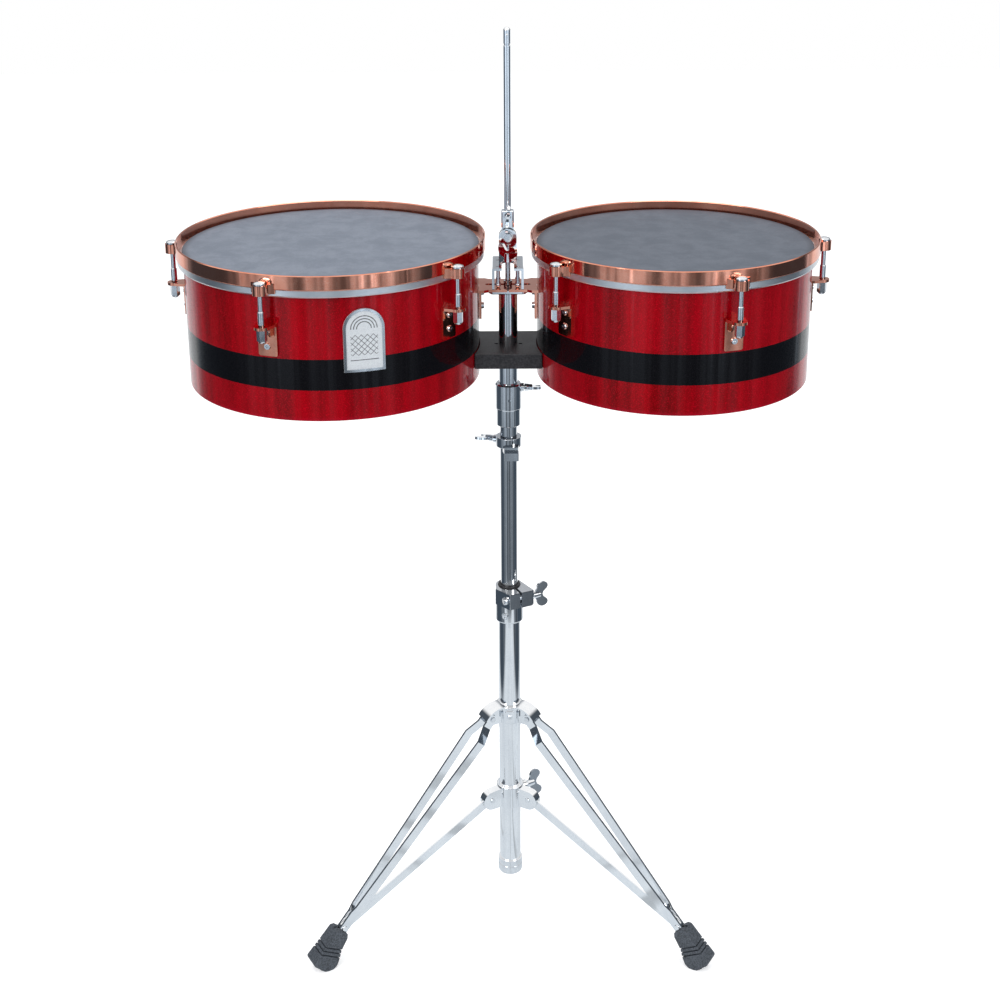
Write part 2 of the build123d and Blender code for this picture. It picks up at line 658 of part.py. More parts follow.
with BuildPart() as accessory_tilter:
    with BuildSketch(Plane(origin=V(0, ACC_Y, 0), x_dir=(1, 0, 0), z_dir=(0, -1, 0))):
        with Locations((0, TILT_Z)):
            Circle(8.0)
        with Locations((0, TILT_Z + 7)):
            Rectangle(16.0, 14.0)
    extrude(amount=2.4, both=True)
    with BuildSketch(level(TILT_Z + 12.4, 0, ACC_Y)):
        RectangleRounded(17.0, 13.0, 2.5)
    extrude(amount=22.0)
    fillet(accessory_tilter.faces().sort_by(Axis.Z)[-1].outer_wire().edges(), radius=1.6)
    with BuildSketch(level(1018.5, 0, ACC_Y)):
        Circle(ACC_SPIGOT_R + 0.06)
    extrude(amount=40, mode=Mode.SUBTRACT)
    with BuildSketch(facing(-90, -ACC_Y + 2, ACC_WING_Z)):
        Circle(2.85)
    extrude(amount=20, mode=Mode.SUBTRACT)
    with BuildSketch(Plane(origin=V(0, ACC_Y, 0), x_dir=(1, 0, 0), z_dir=(0, -1, 0))):
        with Locations((0, TILT_Z)):
            Circle(3.06)
    extrude(amount=10, both=True, mode=Mode.SUBTRACT)
save(accessory_tilter, "accessory_tilter")

with BuildPart() as tilt_bolt:
    with BuildSketch(facing(-90, -ACC_Y - 13.6, TILT_Z)):
        RegularPolygon(6.2, 6)
    extrude(amount=6.4)
    with BuildSketch(facing(-90, -ACC_Y - 7.2, TILT_Z)):
        Circle(3.0)
    extrude(amount=14.4)
    with BuildSketch(facing(-90, -ACC_Y + 7.05, TILT_Z)):
        Circle(7.4)
    extrude(amount=1.6)
    with BuildSketch(facing(-90, -ACC_Y + 8.6, TILT_Z)):
        RegularPolygon(5.8, 6)
    extrude(amount=5.0)
save(tilt_bolt, "tilt_bolt")

with BuildPart() as accessory_rod:
    with BuildSketch(side(0, 0, ACC_Y)):
        with BuildLine():
            Line((0, ACC_ROD_Z0), (ACC_SPIGOT_R - 0.6, ACC_ROD_Z0))
            Line((ACC_SPIGOT_R - 0.6, ACC_ROD_Z0), (ACC_SPIGOT_R, ACC_ROD_Z0 + 0.6))
            Line((ACC_SPIGOT_R, ACC_ROD_Z0 + 0.6), (ACC_SPIGOT_R, 1040.0))
            Line((ACC_SPIGOT_R, 1040.0), (ACC_ROD_R, 1040.4))
            Line((ACC_ROD_R, 1040.4), (ACC_ROD_R, 1252.0))
            Line((ACC_ROD_R, 1252.0), (ACC_ROD_R - 0.7, 1252.6))
            Line((ACC_ROD_R - 0.7, 1252.6), (ACC_ROD_R - 0.7, 1254.4))
            Line((ACC_ROD_R - 0.7, 1254.4), (ACC_ROD_R, 1255.0))
            Line((ACC_ROD_R, 1255.0), (ACC_ROD_R, ACC_ROD_Z1 - 3.6))
            ThreePointArc((ACC_ROD_R, ACC_ROD_Z1 - 3.6), crown(ACC_ROD_R, ACC_ROD_Z1 - 3.6, 3.6), (0, ACC_ROD_Z1))
            Line((0, ACC_ROD_Z1), (0, ACC_ROD_Z0))
        make_face()
    revolve(axis=upright(0, ACC_Y))
    with BuildSketch(facing(-90, -ACC_Y - 10, 1266.5)):
        Circle(1.3)
    extrude(amount=20, mode=Mode.SUBTRACT)
save(accessory_rod, "accessory_rod")

accessory_wing_screw = wing_screw(facing(-90, -ACC_Y + 7.6, ACC_WING_Z), 2.8, 2.85, twist=84, hub_r=4.6)
save(accessory_wing_screw, "accessory_wing_screw")

# ================================================================ drums
for name, R in DRUM_R.items():
    cx = CX[name]
    angles = LUG_ANGLES[name]
    inner = 0 if name == "left" else 180            # azimuth that faces the stand
    sgn = 1 if name == "left" else -1
    plane = side(0, cx, 0)
    axis = upright(cx, 0)
    screw_z = (924.0, 942.0)
    bolt_z = (917.5, 936.0)

    # shell with both edges rolled inward
    with BuildPart() as shell:
        with BuildSketch(plane):
            with BuildLine():
                Polyline((R - 6, SHELL_Z0), (R - 0.6, SHELL_Z0), (R, SHELL_Z0 + 0.6), (R, SHELL_Z1 - 0.9), (R - 0.9, SHELL_Z1),
                         (R - 6, SHELL_Z1 - 0.6), (R - 6, SHELL_Z1 - 2.6), (R - SHELL_T, SHELL_Z1 - 2.6),
                         (R - SHELL_T, SHELL_Z0 + 2.0), (R - 6, SHELL_Z0 + 2.0), close=True)
            make_face()
        revolve(axis=axis)
        for az in angles:
            for z in screw_z:
                with BuildSketch(facing(az, R - 8, z, cx, 0)):
                    Circle(2.25)
                extrude(amount=12, mode=Mode.SUBTRACT)
        for z in bolt_z:
            with BuildSketch(facing(inner, R - 8, z, cx, CLAMP_Y)):
                Circle(2.75)
            extrude(amount=12, mode=Mode.SUBTRACT)
    save(shell, f"shell_{name}")

    # film head: flat membrane, rounded over the edge, skirt inside the hoop
    with BuildPart() as head:
        with BuildSketch(plane):
            with BuildLine():
                Polyline((0, SHELL_Z1), (R - 0.2, SHELL_Z1), (R + 0.25, SHELL_Z1 - 0.6), (R + 0.25, FLESH_Z0 + 1.5),
                         (R + 0.25 + HEAD_T, FLESH_Z0 + 1.5), (R + 0.25 + HEAD_T, SHELL_Z1 - 0.2), (R, SHELL_Z1 + HEAD_T), (0, SHELL_Z1 + HEAD_T), close=True)
            make_face()
        revolve(axis=axis)
    save(head, f"head_{name}")

    with BuildPart() as flesh_hoop:
        with BuildSketch(plane):
            with BuildLine():
                Polyline((R + FLESH_IN, FLESH_Z0 + 1), (R + FLESH_IN + 1, FLESH_Z0), (R + FLESH_OUT - 1.6, FLESH_Z0), (R + FLESH_OUT, FLESH_Z0 + 1.8),
                         (R + FLESH_OUT, HOOP_Z0 - 1.2), (R + FLESH_OUT - 1.0, HOOP_Z0 - 0.05), (R + FLESH_IN, HOOP_Z0 - 0.05), close=True)
            make_face()
        revolve(axis=axis)
    save(flesh_hoop, f"flesh_hoop_{name}")

    # counter hoop with five ears
    with BuildPart() as counter_hoop:
        for az in angles:
            a = radians(az)
            with BuildSketch(Plane(origin=V(cx, 0, EAR_Z0), x_dir=(cos(a), sin(a), 0), z_dir=(0, 0, 1))):
                with BuildLine():
                    Polyline((R + 6.5, 15.6), (R + 9.2, 15.2), (R + 11.0, 11.6), (R + 13.4, 9.6), (R + ROD_OUT, EAR_R - 0.05),
                             (R + ROD_OUT, 0.05 - EAR_R), (R + 13.4, -9.6), (R + 11.0, -11.6), (R + 9.2, -15.2), (R + 6.5, -15.6), close=True)
                make_face()
                with Locations((R + ROD_OUT, 0)):
                    Circle(EAR_R)
            extrude(amount=EAR_Z1 - EAR_Z0)
        with BuildSketch(level(EAR_Z0 - 1, cx, 0)):
            Circle(R + HOOP_OUT - 1.3)
        extrude(amount=EAR_Z1 - EAR_Z0 + 2, mode=Mode.SUBTRACT)
        with BuildSketch(plane):
            with BuildLine():
                Polyline((R + HOOP_OUT - HOOP_T, HOOP_Z0), (R + HOOP_OUT - 0.5, HOOP_Z0), (R + HOOP_OUT, HOOP_Z0 + 0.6), (R + HOOP_OUT, HOOP_Z1 - 1.0),
                         (R + HOOP_OUT - 0.9, HOOP_Z1), (R + HOOP_OUT - HOOP_T + 0.9, HOOP_Z1), (R + HOOP_OUT - HOOP_T, HOOP_Z1 - 1.0), close=True)
            make_face()
        revolve(axis=axis)
        for az in angles:
            a = radians(az)
            with BuildSketch(level(EAR_Z0 - 1, cx + (R + ROD_OUT) * cos(a), (R + ROD_OUT) * sin(a))):
                Circle(3.5)
            extrude(amount=EAR_Z1 - EAR_Z0 + 2, mode=Mode.SUBTRACT)
    save(counter_hoop, f"counter_hoop_{name}")

    # lug brackets: curved plate on the shell and a round-ended shelf on top
    with BuildPart() as lug_brackets:
        for az in angles:
            a = radians(az)
            with BuildSketch(facing(az, R - 6, (LUG_PLATE_Z0 + SHELF_Z1) / 2, cx, 0)):
                RectangleRounded(25.0, SHELF_Z1 - LUG_PLATE_Z0, 2.5)
            extrude(amount=18.0)
        with BuildSketch(level(LUG_PLATE_Z0 - 5, cx, 0)):
            Circle(R + 60)
            Circle(R + 3.4, mode=Mode.SUBTRACT)
        extrude(amount=60, mode=Mode.SUBTRACT)
        with BuildSketch(level(LUG_PLATE_Z0 - 5, cx, 0)):
            Circle(R + 0.15)
        extrude(amount=60, mode=Mode.SUBTRACT)
        for az in angles:
            a = radians(az)
            lug = Plane(origin=V(cx, 0, SHELF_Z0), x_dir=(cos(a), sin(a), 0), z_dir=(0, 0, 1))
            with BuildSketch(lug):
                with BuildLine():
                    Polyline((R + 1.2, -12.5), (R + 1.2, 12.5), (R + 5, 12.5), (R + ROD_OUT, 9.25), (R + ROD_OUT, -9.25), (R + 5, -12.5), close=True)
                make_face()
                with Locations((R + ROD_OUT, 0)):
                    Circle(9.3)
            extrude(amount=SHELF_Z1 - SHELF_Z0)
            with BuildSketch(lug.offset(-1)):
                with Locations((R + ROD_OUT, 0)):
                    Circle(4.2)
            extrude(amount=10, mode=Mode.SUBTRACT)
            for z in screw_z:
                with BuildSketch(facing(az, R - 2, z, cx, 0)):
                    Circle(2.25)
                extrude(amount=10, mode=Mode.SUBTRACT)
    save(lug_brackets, f"lug_brackets_{name}")

    pans = [pan_screw(facing(az, R + 3.42, z, cx, 0), 4.3, 2.2, 2.2, 7.4) for az in angles for z in screw_z]
    with BuildPart() as lug_screws:
        for pan in pans:
            add(pan.part)
        for az in angles:
            for z in screw_z:
                with BuildSketch(facing(az, R - 4.4, z, cx, 0)):
                    RegularPolygon(4.2, 6)
                extrude(amount=2.6)
    save(lug_screws, f"lug_screws_{name}")

    # tension rods: round cap, thin neck, thicker sleeve, threaded end
    with BuildPart() as tension_rods:
        for az in angles:
            a = radians(az)
            x, y = cx + (R + ROD_OUT) * cos(a), (R + ROD_OUT) * sin(a)
            with BuildSketch(side(0, x, y)):
                with BuildLine():
                    Line((0, 936.0), (3.1, 936.0))
                    Line((3.1, 936.0), (3.1, 954.5))
                    Line((3.1, 954.5), (4.0, 955.2))
                    Line((4.0, 955.2), (4.0, 970.6))
                    Line((4.0, 970.6), (3.1, 971.6))
                    Line((3.1, 971.6), (3.1, EAR_Z1 + 0.02))
                    Line((3.1, EAR_Z1 + 0.02), (CAP_R, EAR_Z1 + 0.02))
                    Line((CAP_R, EAR_Z1 + 0.02), (CAP_R, EAR_Z1 + 2.2))
                    Line((CAP_R, EAR_Z1 + 2.2), (CAP_R - 0.9, EAR_Z1 + 3.2))
                    ThreePointArc((CAP_R - 0.9, EAR_Z1 + 3.2), crown(CAP_R - 0.9, EAR_Z1 + 3.2, 1.4), (0, EAR_Z1 + 4.6))
                    Line((0, EAR_Z1 + 4.6), (0, 936.0))
                make_face()
            revolve(axis=upright(x, y))
    save(tension_rods, f"tension_rods_{name}")

    with BuildPart() as tuning_nuts:
        for az in angles:
            a = radians(az)
            x, y = cx + (R + ROD_OUT) * cos(a), (R + ROD_OUT) * sin(a)
            with BuildSketch(Plane(origin=V(x, y, 935.0), x_dir=(cos(a), sin(a), 0), z_dir=(0, 0, 1))):
                RegularPolygon(6.4, 6)
            extrude(amount=SHELF_Z0 - 935.05)
            with BuildSketch(side(0, x, y)):
                with BuildLine():
                    Polyline((0, 931.2), (1.8, 931.4), (3.6, 932.3), (4.8, 933.6), (5.4, 935.1), (0, 935.1), close=True)
                make_face()
            revolve(axis=upright(x, y))
            with BuildSketch(level(935.5, x, y)):
                Circle(3.14)
            extrude(amount=20, mode=Mode.SUBTRACT)
    save(tuning_nuts, f"tuning_nuts_{name}")

    # mounting bracket: plate on the shell, forked tongue into the clamp
    face_x = cx + sgn * R
    with BuildPart() as mount_bracket:
        with BuildSketch(level(903.0)):
            with Locations((face_x + sgn * 1.75, CLAMP_Y)):
                Rectangle(3.1, 29.0)
        extrude(amount=TONGUE_Z1 - 903.0)
        with BuildSketch(level(TONGUE_Z0)):
            with BuildLine():
                Polyline((face_x - sgn * 8, CLAMP_Y - 30), (face_x + sgn * 7, CLAMP_Y - 30), (face_x + sgn * 13, CLAMP_Y - 26), (-sgn * 1.0, CLAMP_Y - 26),
                         (-sgn * 1.0, CLAMP_Y + 26), (face_x + sgn * 13, CLAMP_Y + 26), (face_x + sgn * 7, CLAMP_Y + 30), (face_x - sgn * 8, CLAMP_Y + 30), close=True)
            make_face()
            with Locations((face_x + sgn * 33.0, CLAMP_Y)):
                Rectangle(42, 7.4, mode=Mode.SUBTRACT)
            with Locations((face_x + sgn * 12.0, CLAMP_Y)):
                Circle(3.7, mode=Mode.SUBTRACT)
        extrude(amount=TONGUE_Z1 - TONGUE_Z0)
        with BuildSketch(level(900, cx, 0)):
            Circle(R + 0.15)
        extrude(amount=60, mode=Mode.SUBTRACT)
        for z in bolt_z:
            with BuildSketch(facing(inner, R - 3, z, cx, CLAMP_Y)):
                Circle(2.75)
            extrude(amount=12, mode=Mode.SUBTRACT)
    save(mount_bracket, f"mount_bracket_{name}")

    with BuildPart() as mount_bolts:
        for z in bolt_z:
            with BuildSketch(facing(inner, R + 3.32, z, cx, CLAMP_Y)):
                Circle(4.6)
            extrude(amount=3.2, taper=12)
            with BuildSketch(facing(inner, R + 3.32, z, cx, CLAMP_Y)):
                Circle(2.7)
            extrude(amount=-8.5)
            with BuildSketch(facing(inner, R - 5.6, z, cx, CLAMP_Y)):
                RegularPolygon(5.0, 6)
            extrude(amount=3.6)
    save(mount_bolts, f"mount_bolts_{name}")

# ---- name plate of the larger drum, left blank: arched top, raised rim
R, cx = DRUM_R["left"], CX["left"]
zr = BADGE_W / 2
with BuildPart() as badge:
    with BuildSketch(facing(BADGE_ANGLE, R - 10, 0, cx, 0)):
        with Locations((0, (BADGE_Z0 + BADGE_Z1 - zr) / 2)):
            Rectangle(BADGE_W, BADGE_Z1 - zr - BADGE_Z0)
        with Locations((0, BADGE_Z1 - zr)):
            Circle(zr)
    extrude(amount=20)
    with BuildSketch(level(BADGE_Z0 - 10, cx, 0)):
        Circle(R + 40)
        Circle(R + 2.2, mode=Mode.SUBTRACT)
    extrude(amount=120, mode=Mode.SUBTRACT)
    # sunk field inside the rim
    with BuildPart(mode=Mode.PRIVATE) as field:
        with BuildSketch(facing(BADGE_ANGLE, R - 10, 0, cx, 0)):
            with Locations((0, (BADGE_Z0 + BADGE_Z1 - zr) / 2 + 1.6)):
                Rectangle(BADGE_W - 6.4, BADGE_Z1 - zr - BADGE_Z0 - 3.2)
            with Locations((0, BADGE_Z1 - zr)):
                Circle(zr - 3.2)
        extrude(amount=20)
        with BuildSketch(level(BADGE_Z0 - 10, cx, 0)):
            Circle(R + 1.3)
        extrude(amount=120, mode=Mode.SUBTRACT)
    add(field.part, mode=Mode.SUBTRACT)
    with BuildSketch(level(BADGE_Z0 - 10, cx, 0)):
        Circle(R + 0.1)
    extrude(amount=120, mode=Mode.SUBTRACT)
save(badge, "badge")

print(len(NODES), "nodes; leg length", round(L1, 2), "brace length", round(L2, 2))
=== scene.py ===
import bpy, json, math
from math import radians, sin, cos, tan, atan2, sqrt, pi
from mathutils import Vector, Matrix


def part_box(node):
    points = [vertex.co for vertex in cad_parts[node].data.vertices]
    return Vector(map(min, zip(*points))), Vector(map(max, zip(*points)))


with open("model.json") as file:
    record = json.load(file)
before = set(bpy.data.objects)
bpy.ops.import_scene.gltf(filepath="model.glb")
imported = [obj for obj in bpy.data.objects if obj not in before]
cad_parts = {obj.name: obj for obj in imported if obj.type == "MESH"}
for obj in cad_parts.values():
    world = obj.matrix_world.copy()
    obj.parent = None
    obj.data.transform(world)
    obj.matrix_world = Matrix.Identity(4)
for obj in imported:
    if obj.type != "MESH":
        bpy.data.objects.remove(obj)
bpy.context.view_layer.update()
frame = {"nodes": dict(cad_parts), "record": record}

NODES = frame["nodes"]


def mid(node):
    lo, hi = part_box(node)
    return [(a + b) / 2 for a, b in zip(lo, hi)]


# the stand's axis and the two drum axes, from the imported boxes
AX, AY = mid("base_tube")[:2]
DRUM = {n: (mid(f"shell_{n}")[0], mid(f"shell_{n}")[1], (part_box(f"shell_{n}")[1][0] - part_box(f"shell_{n}")[0][0]) / 2) for n in ("left", "right")}


# ------------------------------------------------------------------ node tools
class Tree:
    def __init__(self, tree):
        self.t = tree
        self.n = tree.nodes
        self.l = tree.links

    def add(self, kind, **props):
        node = self.n.new(kind)
        for k, v in props.items():
            setattr(node, k, v)
        return node

    def put(self, socket, value):
        if isinstance(value, bpy.types.NodeSocket):
            self.l.new(value, socket)
        elif value is not None:
            socket.default_value = value

    def math(self, op, a, b=None, c=None, clamp=False):
        m = self.add("ShaderNodeMath", operation=op, use_clamp=clamp)
        self.put(m.inputs[0], a)
        if b is not None:
            self.put(m.inputs[1], b)
        if c is not None:
            self.put(m.inputs[2], c)
        return m.outputs[0]

    def vmath(self, op, a, b=None, out=0):
        m = self.add("ShaderNodeVectorMath", operation=op)
        self.put(m.inputs[0], a)
        if b is not None:
            self.put(m.inputs[1], b)
        return m.outputs[out]

    def noise(self, vec, scale, detail=3.0, rough=0.55, dist=0.0, out="Fac"):
        n = self.add("ShaderNodeTexNoise")
        self.put(n.inputs["Vector"], vec)
        self.put(n.inputs["Scale"], scale)
        self.put(n.inputs["Detail"], detail)
        self.put(n.inputs["Roughness"], rough)
        self.put(n.inputs["Distortion"], dist)
        return n.outputs[out]

    def voronoi(self, vec, scale, out="Distance", feature="F1"):
        n = self.add("ShaderNodeTexVoronoi", feature=feature)
        self.put(n.inputs["Vector"], vec)
        self.put(n.inputs["Scale"], scale)
        return n.outputs[out]

    def ramp(self, fac, stops, mode="LINEAR"):
        r = self.add("ShaderNodeValToRGB")
        r.color_ramp.interpolation = mode
        els = r.color_ramp.elements
        while len(els) < len(stops):
            els.new(0.5)
        for e, (p, c) in zip(els, stops):
            e.position = p
            e.color = (c, c, c, 1) if isinstance(c, (int, float)) else (*c, 1)
        self.put(r.inputs[0], fac)
        return r.outputs[0]

    def span(self, v, a, b, c=0.0, d=1.0, smooth=True):
        m = self.add("ShaderNodeMapRange", interpolation_type="SMOOTHSTEP" if smooth else "LINEAR")
        self.put(m.inputs["Value"], v)
        for k, x in (("From Min", a), ("From Max", b), ("To Min", c), ("To Max", d)):
            self.put(m.inputs[k], x)
        return m.outputs[0]

    def mix(self, fac, a, b, blend="MIX"):
        m = self.add("ShaderNodeMix", data_type="RGBA", blend_type=blend)
        self.put(m.inputs[0], fac)
        for s, v in ((m.inputs[6], a), (m.inputs[7], b)):
            self.put(s, (*v, 1.0) if isinstance(v, tuple) else v)
        return m.outputs[2]

    def bump(self, height, strength, dist, normal=None):
        b = self.add("ShaderNodeBump")
        self.put(b.inputs["Height"], height)
        b.inputs["Strength"].default_value = strength
        b.inputs["Distance"].default_value = dist
        if normal is not None:
            self.put(b.inputs["Normal"], normal)
        return b.outputs[0]

    def xyz(self, vec):
        s = self.add("ShaderNodeSeparateXYZ")
        self.put(s.inputs[0], vec)
        return s.outputs

    def vec(self, x, y, z):
        c = self.add("ShaderNodeCombineXYZ")
        for i, v in enumerate((x, y, z)):
            self.put(c.inputs[i], v)
        return c.outputs[0]


def material(name):
    m = bpy.data.materials.new(name)
    m.use_nodes = True
    m.node_tree.nodes.clear()
    t = Tree(m.node_tree)
    out = t.add("ShaderNodeOutputMaterial")
    p = t.add("ShaderNodeBsdfPrincipled")
    t.l.new(p.outputs[0], out.inputs[0])
    obj = t.add("ShaderNodeTexCoord").outputs["Object"]
    return m, t, p, obj


def edge_highlight_mask(t, obj, scale=900.0):
    """Thin brighter lines painted along the convex edges: painted edge highlights, broken up by noise."""
    g = t.add("ShaderNodeNewGeometry")
    edge = t.span(g.outputs["Pointiness"], 0.505, 0.56)
    return t.math("MULTIPLY", edge, t.span(t.noise(obj, scale, 2), 0.35, 0.65))


def metal(name, light, dark, rough, scratch=0.12, smudge=0.10, dist=0.00006, fine=420.0):
    """Plated metal: cloudy tarnish, finger smudges in the gloss, hairline scratches."""
    m, t, p, obj = material(name)
    cloud = t.noise(obj, 38.0, 4, 0.6, 0.4)
    speck = t.span(t.noise(obj, 950.0, 2, 0.6), 0.62, 0.78)
    base = t.mix(t.span(cloud, 0.3, 0.75), light, dark)
    base = t.mix(t.math("MULTIPLY", speck, 0.22), base, tuple(c * 0.45 for c in dark))
    # painted highlight: the convex edges are lighter in the colour
    base = t.mix(t.math("MULTIPLY", edge_highlight_mask(t, obj), 0.6), base, tuple(min(1.0, c * 1.12 + 0.03) for c in light))
    t.put(p.inputs["Base Color"], base)
    p.inputs["Metallic"].default_value = 1.0
    hair = t.noise(t.vmath("MULTIPLY", obj, (fine * 3.0, fine * 3.0, fine * 0.16)), 1.0, 3, 0.65)
    hair2 = t.noise(t.vmath("MULTIPLY", obj, (fine * 0.3, fine * 0.4, fine * 2.4)), 1.0, 2, 0.5)
    film = t.noise(obj, 14.0, 3, 0.6, 1.2)
    r = t.math("ADD", rough, t.math("MULTIPLY", t.span(film, 0.45, 0.8), smudge))
    r = t.math("ADD", r, t.math("MULTIPLY", t.span(hair, 0.58, 0.75), scratch))
    t.put(p.inputs["Roughness"], r)
    h = t.math("ADD", hair, t.math("MULTIPLY", hair2, 0.6))
    t.put(p.inputs["Normal"], t.bump(h, 0.10, dist))
    return m


# ------------------------------------------------------------------ materials
def lacquer(name, cx, cy, R):
    """Deep red metal-flake lacquer over a steel shell, one gloss black band,
    bare plated steel on the inside."""
    m, t, p, obj = material(name)
    x, y, z = t.xyz(obj)
    dx, dy = t.math("SUBTRACT", x, cx), t.math("SUBTRACT", y, cy)
    rad = t.math("SQRT", t.math("ADD", t.math("MULTIPLY", dx, dx), t.math("MULTIPLY", dy, dy)))
    inside = t.math("LESS_THAN", rad, R - 0.0009)
    wob = t.math("MULTIPLY", t.math("SUBTRACT", t.noise(obj, 60.0, 2), 0.5), 0.0003)
    zz = t.math("ADD", z, wob)
    band = t.math("MULTIPLY", t.span(zz, 0.86875, 0.86905), t.span(zz, 0.90855, 0.90825))
    # flakes: each cell has its own tilt and brightness
    cell = t.voronoi(obj, 1500.0, "Color")
    cr, cg, cb = t.xyz(cell)
    flake = t.span(cr, 0.72, 0.98)
    # tall vertical streaks of lighter and darker red in the base colour: painted reflection streaks
    streak = t.noise(t.vmath("MULTIPLY", obj, (46.0, 46.0, 3.0)), 1.0, 4, 0.62)
    cloud = t.noise(obj, 9.0, 3, 0.5)
    deep = t.mix(t.span(streak, 0.32, 0.70), (0.165, 0.0, 0.0010), (0.37, 0.0, 0.0040))
    deep = t.mix(t.math("MULTIPLY", t.span(cloud, 0.35, 0.7), 0.35), deep, (0.42, 0.0, 0.010))
    red = t.mix(t.math("MULTIPLY", flake, 0.42), deep, (0.88, 0.002, 0.022))
    red = t.mix(t.math("MULTIPLY", t.span(cg, 0.80, 1.0), 0.35), red, (0.09, 0.0, 0.0))
    # painted pool of light: the red is lighter just above the lower edge
    low = t.span(z, 0.8292, 0.836, 1.0, 0.0)
    red = t.mix(t.math("MULTIPLY", low, 0.30), red, (0.52, 0.005, 0.03))
    black = t.mix(t.span(t.noise(obj, 700.0, 2), 0.5, 0.75), (0.0022, 0.0020, 0.0030), (0.0055, 0.0048, 0.0065))
    col = t.mix(band, red, black)
    steel = t.mix(t.noise(obj, 60.0, 3), (0.60, 0.62, 0.65), (0.46, 0.48, 0.51))
    t.put(p.inputs["Base Color"], t.mix(inside, col, steel))
    paint_metal = t.math("MULTIPLY", t.math("SUBTRACT", 1.0, band), 0.42)
    t.put(p.inputs["Metallic"], t.math("MAXIMUM", paint_metal, inside))
    orange = t.noise(obj, 210.0, 2, 0.5)
    ripple = t.noise(t.vmath("MULTIPLY", obj, (150.0, 150.0, 2.6)), 1.0, 4, 0.6)
    t.put(p.inputs["Roughness"], t.math("ADD", 0.36, t.math("MULTIPLY", t.math("SUBTRACT", cb, 0.5), 0.20)))
    flake_n = t.bump(t.math("MULTIPLY", cr, 1.0), 0.35, 0.00006)
    t.put(p.inputs["Normal"], flake_n)
    p.inputs["Specular IOR Level"].default_value = 0.04
    p.inputs["Coat Weight"].default_value = 1.0
    p.inputs["Coat Roughness"].default_value = 0.012
    p.inputs["Coat IOR"].default_value = 1.30
    coat = t.math("ADD", t.math("MULTIPLY", orange, 0.5), ripple)
    t.put(p.inputs["Coat Normal"], t.bump(coat, 0.10, 0.00045))
    return m


def film(name, cx, cy, R, painted_light_level):
    """Matt suede film: blue grey, fine stipple, faint darker stick marks, a darker
    rim towards the edge."""
    m, t, p, obj = material(name)
    x, y, z = t.xyz(obj)
    dx, dy = t.math("SUBTRACT", x, cx), t.math("SUBTRACT", y, cy)
    rad = t.math("SQRT", t.math("ADD", t.math("MULTIPLY", dx, dx), t.math("MULTIPLY", dy, dy)))
    cloud = t.noise(obj, 24.0, 6, 0.74, 0.3)
    fine = t.noise(obj, 520.0, 3, 0.6)
    # the whole film colour is scaled per head: painted light and shade, the right head painted darker, the left
    # lighter
    base = t.mix(t.span(cloud, 0.36, 0.64), tuple(c * painted_light_level for c in (0.146, 0.168, 0.207)), tuple(c * painted_light_level for c in (0.194, 0.218, 0.263)))
    base = t.mix(t.math("MULTIPLY", t.span(fine, 0.35, 0.7), 0.30), base, tuple(c * painted_light_level for c in (0.122, 0.138, 0.172)))
    worn = t.math("MULTIPLY", t.span(rad, R * 0.15, R * 0.62, 1.0, 0.0), t.span(t.noise(obj, 26.0, 4, 0.7), 0.5, 0.8))
    base = t.mix(t.math("MULTIPLY", worn, 0.22), base, tuple(c * painted_light_level for c in (0.215, 0.235, 0.275)))
    # darker towards the rim
    rim = t.span(rad, R - 0.010, R - 0.001)
    base = t.mix(t.math("MULTIPLY", rim, 0.55), base, (0.070, 0.078, 0.095))
    t.put(p.inputs["Base Color"], base)
    t.put(p.inputs["Roughness"], t.math("ADD", 0.52, t.math("MULTIPLY", cloud, 0.18)))
    p.inputs["Specular IOR Level"].default_value = 0.22
    t.put(p.inputs["Normal"], t.bump(t.math("ADD", fine, t.math("MULTIPLY", t.voronoi(obj, 1400.0), 0.6)), 0.35, 0.00008))
    return m


def copper():
    """Polished copper plate: warm colour drift, painted highlights on the edges, fine turning lines."""
    m, t, p, obj = material("copper_plate")
    cloud = t.noise(obj, 24.0, 5, 0.62, 0.9)
    base = t.mix(t.span(cloud, 0.28, 0.74), (0.95, 0.395, 0.262), (0.82, 0.280, 0.172))
    stain = t.span(t.noise(obj, 130.0, 4, 0.7), 0.62, 0.80)
    base = t.mix(t.math("MULTIPLY", stain, 0.30), base, (0.50, 0.150, 0.085))
    # painted highlight: the convex edges are lighter in the colour
    base = t.mix(t.math("MULTIPLY", edge_highlight_mask(t, obj), 0.16), base, (1.0, 0.74, 0.60))
    t.put(p.inputs["Base Color"], base)
    p.inputs["Metallic"].default_value = 1.0
    lines = t.noise(t.vmath("MULTIPLY", obj, (30.0, 30.0, 2600.0)), 1.0, 2, 0.5)
    film_ = t.noise(obj, 18.0, 3, 0.6, 1.0)
    r = t.math("ADD", 0.060, t.math("MULTIPLY", t.span(film_, 0.42, 0.8), 0.10))
    t.put(p.inputs["Roughness"], t.math("ADD", r, t.math("MULTIPLY", stain, 0.15)))
    wave = t.noise(obj, 55.0, 2, 0.5)
    t.put(p.inputs["Normal"], t.bump(t.math("ADD", t.math("MULTIPLY", lines, 0.14), wave), 0.12, 0.00030))
    return m


